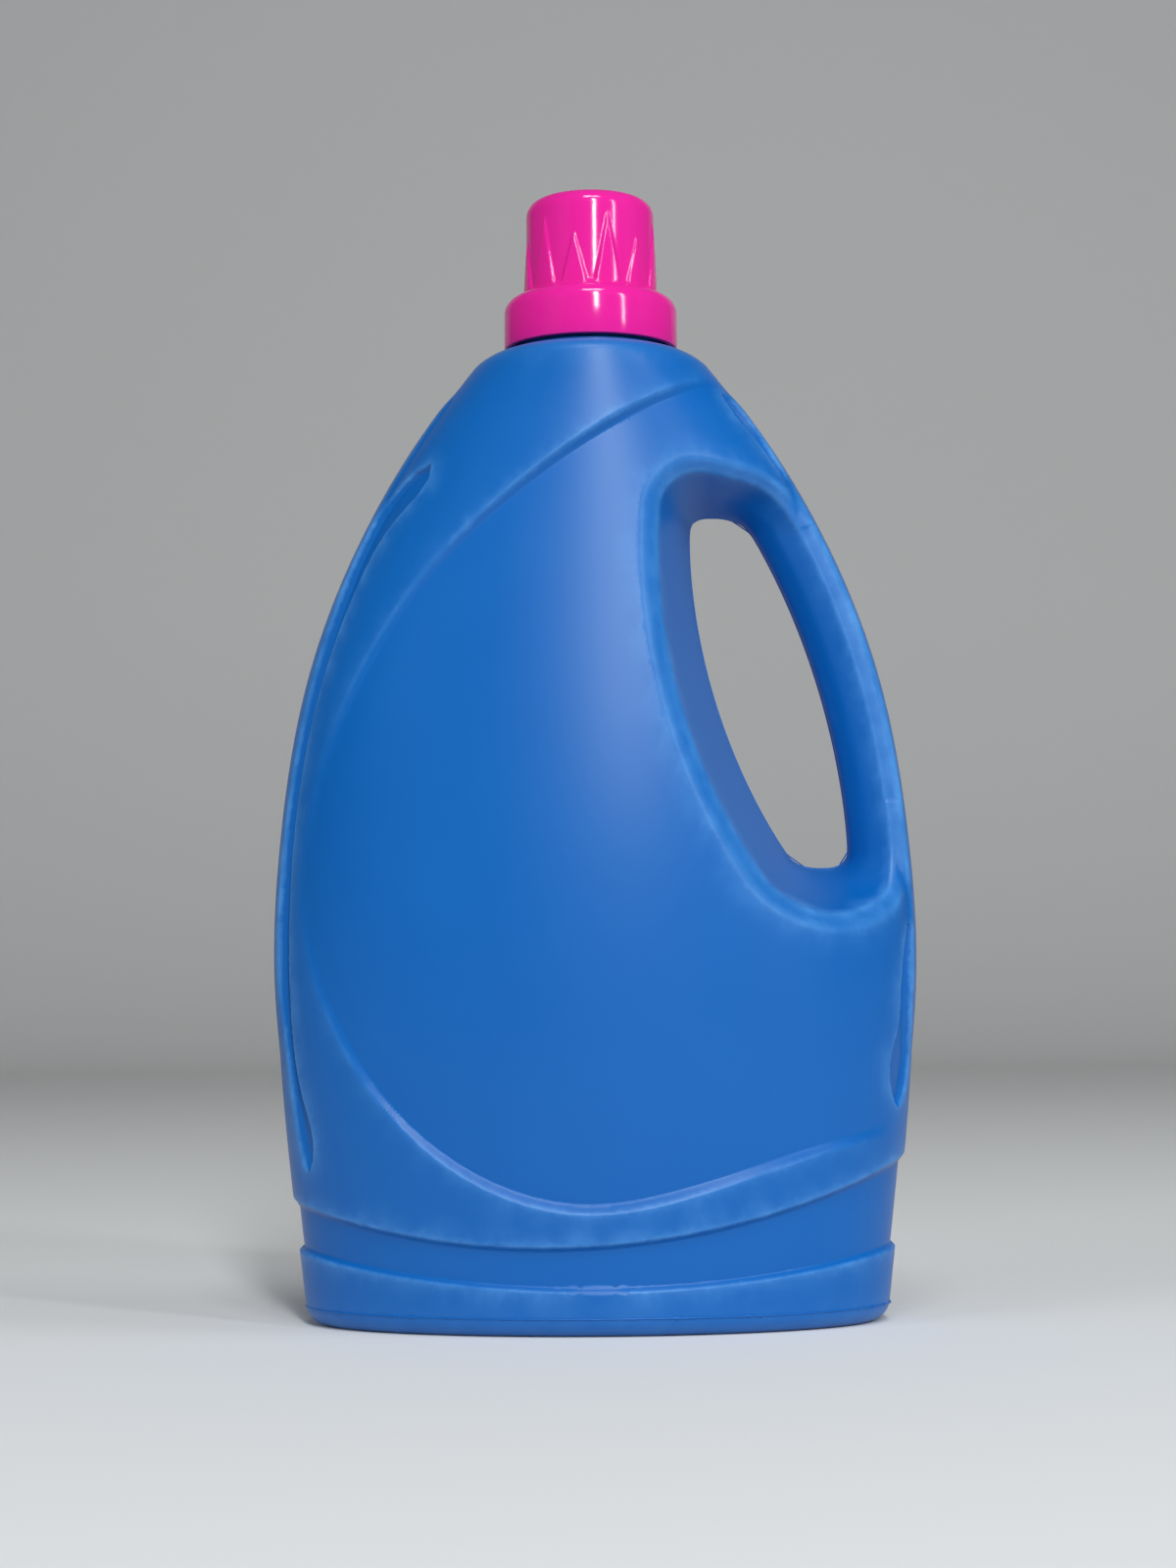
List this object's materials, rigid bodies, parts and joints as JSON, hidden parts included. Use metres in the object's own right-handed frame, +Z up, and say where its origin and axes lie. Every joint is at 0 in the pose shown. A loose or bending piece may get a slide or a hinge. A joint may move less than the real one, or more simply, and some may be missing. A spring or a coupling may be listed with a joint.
{
  "type": "fabric softener bottle",
  "caption": "Tall oval blow-moulded bottle with a through handle, sunk leaf-shaped panel and flared foot, closed by a pouring insert, a sealing ring and a fluted dosing cap that screws off.",
  "frame": {"origin": "middle of the foot, on the plane that the bottle stands on", "axes": "+Z up along the neck, +X across the width towards the handle, -Y out of the front face"},
  "size_m": [0.1706, 0.0896, 0.3],
  "materials": {
    "bottle": "satin blue",
    "pour_spout": "satin natural white",
    "seal_ring": "matt white foam",
    "dosing_cap": "gloss pink"
  },
  "bodies": {
    "bottle_body": {"bottle": "bottle", "pour_spout": "pour_spout"},
    "seal": {"seal_ring": "seal_ring"},
    "cap": {"dosing_cap": "dosing_cap"}
  },
  "joints": [
    {"name": "cap_lift", "type": "slide", "parent": "bottle_body", "child": "seal", "axis": [0, 0, 1], "range_m": [0, 0.006]},
    {"name": "cap_turn", "type": "hinge", "parent": "seal", "child": "cap", "pos_m": [0, 0, 0.28], "axis": [0, 0, 1], "range_deg": [0, 540]}
  ],
  "couplings": [
    {"joint": "cap_lift", "follows": "cap_turn", "m_per_rad": 0.00063662}
  ]
}
